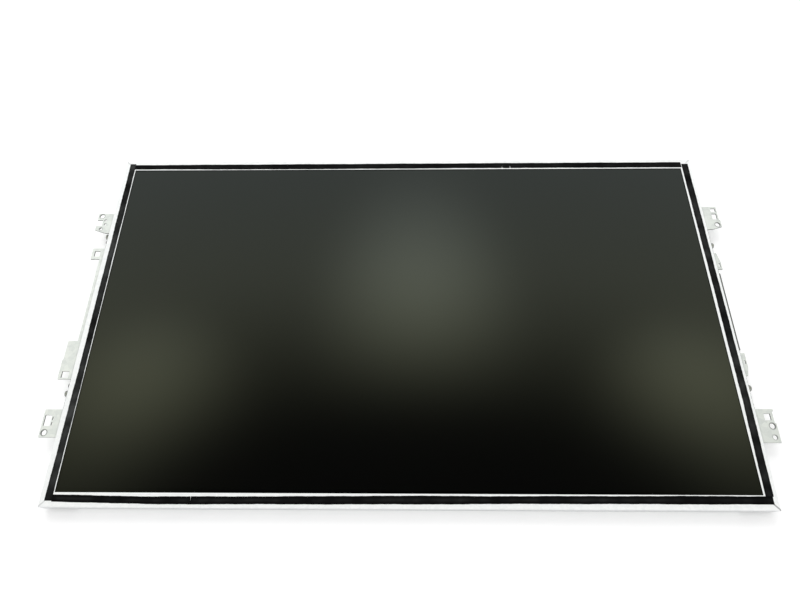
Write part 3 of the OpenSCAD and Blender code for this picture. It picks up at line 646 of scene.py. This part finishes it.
def tape_strip(node, along, seed, lightening, inner, drift, laps=(0.0, 0.0), nicks=()):
    """Flat loop carried along the CAD strip between its two long edges, thinner in slow waves, with
    both ends closed. The laps reach past the CAD strip's ends, and a nick has its place, its side,
    its share of the strip's width and its own width."""
    thinning, thinning_start, thinning_end = 0.18, 0.2, 1.6
    low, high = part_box(node)
    places, lower, upper = tape_edges(node, along, seed, inner, drift, laps, nicks)
    loop_across, loop_up = flat_loop()
    thick = high[2] - low[2]
    waves = wander(places, 1.0, TAPE_WAVES[:2], seed + 2)
    swell = 1.0 - thinning * soft_step(waves, thinning_start, thinning_end)
    middle = (lower + upper)[:, None] / 2
    half = (upper - lower)[:, None] / 2
    points = np.empty((len(places), len(loop_across), 3))
    points[..., along] = places[:, None]
    points[..., 1 - along] = middle + half * loop_across
    points[..., 2] = low[2] + thick * swell[:, None] * (loop_up + 1.0) / 2
    faces = closed_grid(len(places), len(loop_across))
    if along == Y:
        faces = [face[::-1] for face in faces]
    piece = mesh_object("laid_" + node, points.reshape(-1, 3), faces, TAPE)
    tape_lightening = piece.data.attributes.new("tape_lightening", "FLOAT", "POINT")
    amount = tape_lightening_levels(places, loop_across, lightening, seed + 3)
    tape_lightening.data.foreach_set("value", amount.ravel())
    smooth_by_angle(piece)
    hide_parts(node)


# Lightening per strip at the edges and in the middle; the middle's extra is a painted highlight
tape_strip("tape_far", X, SEED, lightening=(0.06, 0.14), inner=-1,
    drift=[(-240, 0), (-179, -0.25), (-122, -0.5), (-66, -0.35), (-9, -0.2), (47, 0)],
    laps=(0.07 * MM, 0.0),
    nicks=[(90 * MM, -1, 0.35, 0.22 * MM), (97.5 * MM, -1, 0.45, 0.22 * MM)])
tape_strip("tape_near", X, SEED + 10, lightening=(0.01, 0.25), inner=1,
    drift=[(-60, 0), (-10, 0.3), (48, 0), (99, 0), (157, 0.2), (207, 0.35), (257, 0.3)],
    laps=(0.17 * MM, 0.0),
    nicks=[(-156 * MM, 1, 0.62, 0.12 * MM)])
tape_strip("tape_left", Y, SEED + 20, lightening=(0.6, 0.8), inner=1,
    drift=[(-140, 0.1), (60, 0.1), (120, 0.25)],
    laps=(0.0, -0.45 * MM))
tape_strip("tape_right", Y, SEED + 30, lightening=(0.33, 0.52), inner=-1,
    drift=[(60, 0), (120, -0.3)],
    laps=(0.18 * MM, 0.0))


# Screws

def groups(points, reach):
    """Splits points into groups that lie within reach of their first point."""
    found = []
    while len(points):
        near = np.linalg.norm(points - points[0], axis=1) < reach
        found.append(points[near])
        points = points[~near]
    return found


def screw_profile(head_r, head_h, shank_r, shank_l, top_rows, thread_rows):
    """Radius and height from the middle of the head to the tip: flat top, rim as a quarter of an
    oval, flat seat at 0, shank and tip."""
    core_share, flat_share, rim_share, rim_drop = 0.02, 0.8, 0.2, 0.35
    top_r = head_r * np.linspace(core_share, flat_share, top_rows)
    rim = np.linspace(0.0, np.pi / 2, 8)[1:]
    rim_r = head_r * (flat_share + rim_share * np.sin(rim))
    rim_z = -head_h + rim_drop * head_h * (1.0 - np.cos(rim))
    shank = np.linspace(0.0, shank_l, thread_rows)
    radius = [top_r, rim_r, [head_r], np.full(thread_rows, shank_r), [core_share * shank_r]]
    height = [np.full(top_rows, -head_h), rim_z, [0.0], shank, [shank_l]]
    return np.concatenate(radius), np.concatenate(height)


def cross_recess(x, y, head_r):
    """1 in a cross and 0 outside it: the larger of two bars, each with soft flanks."""
    arm, reach, flank = 0.15 * head_r, 0.62 * head_r, 0.08 * head_r
    bars = [
        (1.0 - soft_step(np.abs(a), arm, arm + flank))
        * (1.0 - soft_step(np.abs(b), reach, reach + flank))
        for a, b in ((x, y), (y, x))
    ]
    return np.maximum(*bars)


def screw_points(head_r, head_h, shank_r, shank_l, pitch):
    """Profile turned round Z, on a grid of rows and turns. The cross is sunk into the top, and the
    thread takes a share off the radius as a triangle wave in height less turn, which fades in
    below the head and partly out at the tip. The head is below z = 0 and the shank above."""
    turns, top_rows, thread_rows = 96, 22, 64
    recess_depth, thread_depth, tip_fade = 0.55, 0.16, 0.4
    turn = np.linspace(0.0, 2.0 * np.pi, turns, endpoint=False)
    radius, height = screw_profile(head_r, head_h, shank_r, shank_l, top_rows, thread_rows)
    r = np.repeat(radius[:, None], turns, 1)
    z = np.repeat(height[:, None], turns, 1)
    x, y = r * np.cos(turn), r * np.sin(turn)
    row = np.arange(len(radius))[:, None]
    sunk = cross_recess(x, y, head_r) * recess_depth * head_h
    z = z + np.where(row < top_rows, sunk, 0.0)
    wave = np.abs((z / pitch - turn / (2.0 * np.pi)) % 1.0 - 0.5) * 2.0
    fade = soft_step(z, 0.0, pitch) * (1.0 - tip_fade * soft_step(z, shank_l - pitch, shank_l))
    last = len(radius) - 1
    threaded = (row >= last - thread_rows) & (row < last)
    scale = np.where(threaded, 1.0 - thread_depth * wave * fade, 1.0)
    return np.stack([x * scale, y * scale, z], -1)


def screws(name, node, sizes, seats, finish):
    """One piece for each screw of a CAD node, given a random turn and then turned from the screw's
    own Z to its axis."""
    points = screw_points(*sizes)
    faces = closed_grid(*points.shape[:2])
    for number, (seat, axes) in enumerate(seats, 1):
        random = np.random.default_rng(SEED + number)
        angle = random.uniform(0.0, np.pi / 2)
        spin = np.array([
            [np.cos(angle), -np.sin(angle), 0.0],
            [np.sin(angle), np.cos(angle), 0.0],
            [0.0, 0.0, 1.0],
        ])
        placed = points.reshape(-1, 3) @ spin.T @ np.array(axes).T + np.array(seat)
        piece = mesh_object(f"{name}_{number}", placed, faces, finish)
        smooth_by_angle(piece)
        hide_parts(node)


def side_seats(node):
    """Seats of the side screws: the inner plane of each head and the axis that points inwards."""
    apart, shank_half = 12 * MM, 2 * MM
    seats = []
    for group in groups(node_points(node), apart):
        low, high = group.min(0), group.max(0)
        side = 1.0 if low[0] > 0 else -1.0
        head = group[np.abs(group[:, 1] - (low[1] + high[1]) / 2) > shank_half]
        seat_x = (head[:, 0] * side).min() * side
        centre = (low + high) / 2
        axes = np.array([[0.0, 0.0, -side], [0.0, 1.0, 0.0], [side, 0.0, 0.0]])
        seats.append(((seat_x, centre[1], centre[2]), axes))
    return seats


def upright_seats(node, sizes):
    """Seats of the screws that point up into the tray: their own Z is the module's."""
    apart, head_h = 8 * MM, sizes[1]
    seats = []
    for group in groups(node_points(node), apart):
        low, high = group.min(0), group.max(0)
        centre = (low + high) / 2
        seats.append(((centre[0], centre[1], low[2] + head_h), np.eye(3)))
    return seats


screws("side_screw", "bracket_screws", SIDE_SCREW,
    side_seats("bracket_screws"), DULL_SCREW)
screws("board_screw", "board_screws", BOARD_SCREW,
    upright_seats("board_screws", BOARD_SCREW), ZINC_SCREW)
screws("cover_screw", "cover_screws", COVER_SCREW,
    upright_seats("cover_screws", COVER_SCREW), ZINC_SCREW)


# Studio

def floor():
    """Pale matte floor that the module lies on, lightened a little where the camera sees it."""
    half = 4.0
    finish, tree, shader = new_finish("pale_floor", rough=0.9, specular=0.1)
    grain = noise(tree, 300 * MM, detail=2.0)
    colour = tint(tree, grain, dark=(0.95, 0.95, 0.95), light=(0.97, 0.97, 0.97))
    tree.links.new(colour, shader.inputs["Base Color"])
    paths = add(tree, "LightPath")
    lift = add(tree, "Emission")
    strength = math_node(tree, "MULTIPLY", paths.outputs["Is Camera Ray"], FLOOR_LIFT)
    tree.links.new(strength, lift.inputs["Strength"])
    both = add(tree, "AddShader")
    tree.links.new(shader.outputs[0], both.inputs[0])
    tree.links.new(lift.outputs[0], both.inputs[1])
    tree.links.new(both.outputs[0], tree.nodes["Material Output"].inputs["Surface"])
    corners = [(-half, -half, 0), (half, -half, 0), (half, half, 0), (-half, half, 0)]
    mesh = bpy.data.meshes.new("floor")
    mesh.from_pydata(corners, [], [(0, 1, 2, 3)])
    mesh.materials.append(finish)
    ground = bpy.data.objects.new("floor", mesh)
    bpy.context.scene.collection.objects.link(ground)


def background(tree, strength=1.0):
    """White background of a given strength."""
    made = add(tree, "Background")
    made.inputs["Color"].default_value = (1.0, 1.0, 1.0, 1.0)
    made.inputs["Strength"].default_value = strength
    return made


def mix_shaders(tree, share, first, second):
    """The first shader where the share is 0, the second where it is 1."""
    made = add(tree, "MixShader")
    tree.links.new(share, made.inputs[0])
    tree.links.new(first.outputs[0], made.inputs[1])
    tree.links.new(second.outputs[0], made.inputs[2])
    return made


def sky_slope(tree, axis, centre, width):
    """Slope of a ray along X or Y over its rise, from a centre and in widths."""
    least_rise = 0.02
    direction = axis_parts(tree, "Generated")
    rise = math_node(tree, "MAXIMUM", direction[2], least_rise)
    ratio = math_node(tree, "DIVIDE", direction[axis], rise)
    return math_node(tree, "DIVIDE", math_node(tree, "SUBTRACT", ratio, centre), width)


def sky_patch(tree, centre, widths, low, high, inner=0.0, outer=1.0):
    """Level that runs smoothly from low inside an oval patch of the sky to high outside it, by the
    length of the two slopes in widths."""
    both = add(tree, "CombineXYZ")
    tree.links.new(sky_slope(tree, X, centre[0], widths[0]), both.inputs["X"])
    tree.links.new(sky_slope(tree, Y, centre[1], widths[1]), both.inputs["Y"])
    distance = add(tree, "VectorMath", operation="LENGTH")
    tree.links.new(both.outputs[0], distance.inputs[0])
    return span(tree, distance.outputs["Value"], low, high, inner, outer, "SMOOTHSTEP")


def room():
    """White surroundings. Mirrored rays meet a dark patch overhead, the bright patches beyond it
    and a hue that runs from warm to cool along Y and fades to white outside the patches."""
    warm, cool, white = (1.0, 1.0, 0.7), (0.92, 1.0, 1.0), (1.0, 1.0, 1.0)
    world = bpy.data.worlds.new("room")
    bpy.context.scene.world = world
    world.use_nodes = True
    tree = world.node_tree
    tree.nodes.clear()
    overhead = sky_patch(tree, (0.02, 0.04), (0.8, 0.35), low=0.0, high=1.0,
        inner=0.52, outer=1.53)
    lit = ROOM_LEVEL
    for centre, widths, gain in ROOM_GLOWS:
        lit = math_node(tree, "ADD", sky_patch(tree, centre, widths, low=gain, high=0.0), lit)
    along_y = sky_slope(tree, Y, centre=0.0, width=1.0)
    sky_hue = tint(tree, along_y, warm, cool, start=0.3, end=0.8)
    beyond = sky_patch(tree, (0.0, 0.45), (1.0, 0.8), low=0.0, high=1.0, inner=1.0, outer=1.8)
    hue = blend_colour(tree, sky_hue, beyond, white)
    plain = background(tree, ROOM_LIGHT)
    seen = background(tree)
    mirrored = background(tree)
    tree.links.new(hue, mirrored.inputs["Color"])
    tree.links.new(math_node(tree, "MULTIPLY", overhead, lit), mirrored.inputs["Strength"])
    paths = add(tree, "LightPath")
    straight = math_node(tree, "MAXIMUM", paths.outputs["Is Camera Ray"],
        paths.outputs["Is Transmission Ray"])
    by_mirror = mix_shaders(tree, paths.outputs["Is Glossy Ray"], plain, mirrored)
    by_path = mix_shaders(tree, straight, by_mirror, seen)
    output = add(tree, "OutputWorld")
    tree.links.new(by_path.outputs[0], output.inputs["Surface"])


def soft_lamp(name, place, size, power):
    """Large soft lamp that faces the module and doesn't show in the screen."""
    light = bpy.data.lights.new(name, "AREA")
    light.shape = "RECTANGLE"
    light.size, light.size_y = size
    light.energy = power
    lamp = bpy.data.objects.new(name, light)
    bpy.context.scene.collection.objects.link(lamp)
    x, y, z = place
    lamp.location = place
    lamp.rotation_euler = (math.atan2(math.hypot(x, y), z), 0.0, math.atan2(-x, y) + math.pi)
    lamp.visible_glossy = False


def camera():
    """Camera at the photograph's place, with its lens."""
    film = bpy.data.cameras.new("camera")
    film.lens = LENS_MM
    film.sensor_width = FILM_MM
    film.clip_start = 0.01
    made = bpy.data.objects.new("camera", film)
    bpy.context.scene.collection.objects.link(made)
    made.location = EYE
    made.rotation_euler = [math.radians(angle) for angle in EYE_TURN]
    bpy.context.scene.camera = made


floor()
room()
soft_lamp("far_lamp", place=(-0.3, 1.3, 1.5), size=(1.6, 1.0), power=13.0)
camera()
bpy.context.scene.view_settings.view_transform = "Standard"
